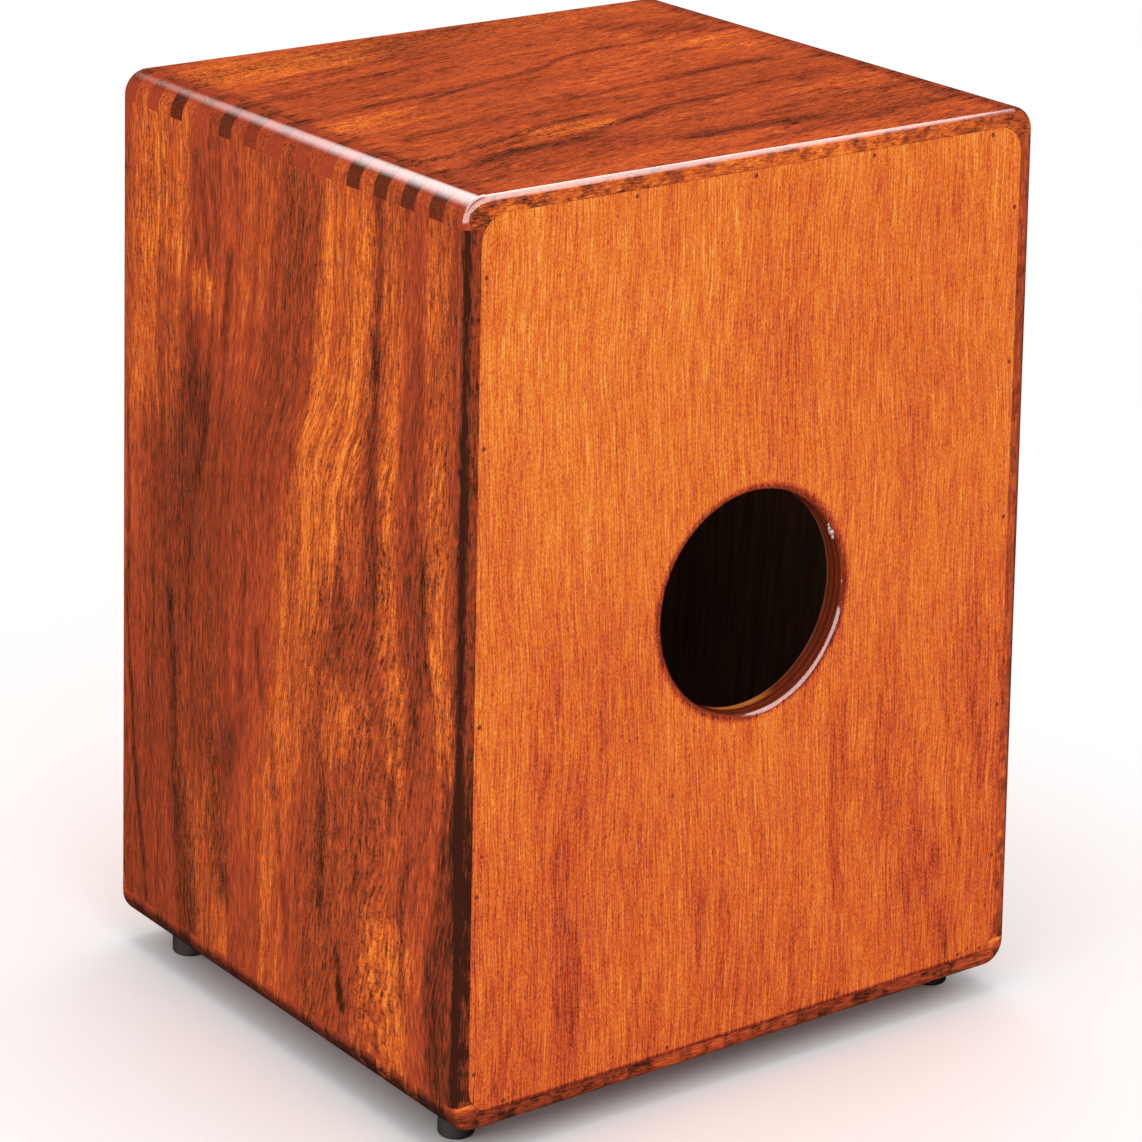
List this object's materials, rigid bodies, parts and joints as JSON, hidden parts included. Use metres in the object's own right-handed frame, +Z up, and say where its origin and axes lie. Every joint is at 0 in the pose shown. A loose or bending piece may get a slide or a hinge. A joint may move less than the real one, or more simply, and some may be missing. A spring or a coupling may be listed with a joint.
{
  "type": "cajon",
  "caption": "Wooden box drum with a struck plywood front, a round sound hole in the back, finger-jointed boards, rubber feet and a tilting snare rail inside.",
  "frame": {"origin": "on the floor, under the middle of the box's overall width and depth", "axes": "+Z up, -Y out of the struck front plate, +Y out of the back with the sound hole, +X the seated player's left"},
  "size_m": [0.355, 0.314, 0.48],
  "materials": {
    "hardwood": "gloss lacquer over reddish hardwood",
    "back_plywood": "gloss lacquer over orange stained plywood",
    "front_plywood": "gloss lacquer over orange stained plywood",
    "black_screw": "black oxide",
    "nail_steel": "lacquered over, dull",
    "rubber": "moulded, matt",
    "steel_screw": "zinc plated",
    "block_wood": "bare sanded hardwood",
    "snare_steel": "bright spring steel",
    "knob_plastic": "moulded, fine texture"
  },
  "bodies": {
    "box": {"top_panel": "hardwood", "bottom_panel": "hardwood", "left_side_panel": "hardwood", "right_side_panel": "hardwood", "back_panel": "back_plywood", "front_plate": "front_plywood", "front_plate_screws": "black_screw", "back_panel_brads": "nail_steel", "foot_front_left": "rubber", "foot_front_right": "rubber", "foot_back_left": "rubber", "foot_back_right": "rubber", "foot_screws": "steel_screw", "foot_washers": "steel_screw", "left_pivot_block": "block_wood", "right_pivot_block": "block_wood", "pivot_block_screws": "steel_screw"},
    "snare_bar": {"snare_rail": "block_wood", "rail_pivot_pins": "steel_screw", "left_snare_plate": "snare_steel", "right_snare_plate": "snare_steel", "left_snare_wires": "snare_steel", "right_snare_wires": "snare_steel", "snare_plate_screws": "steel_screw"},
    "clamp": {"clamp_screw": "steel_screw", "clamp_knob": "knob_plastic"}
  },
  "joints": [
    {"name": "snare_tilt", "type": "hinge", "parent": "box", "child": "snare_bar", "pos_m": [0, -0.1418, 0.33], "axis": [-1, 0, 0], "range_deg": [0, 30]},
    {"name": "clamp_turn", "type": "hinge", "parent": "box", "child": "clamp", "pos_m": [0.1495, -0.09, 0.33], "axis": [0, 1, 0], "range_deg": [0, 180]}
  ]
}
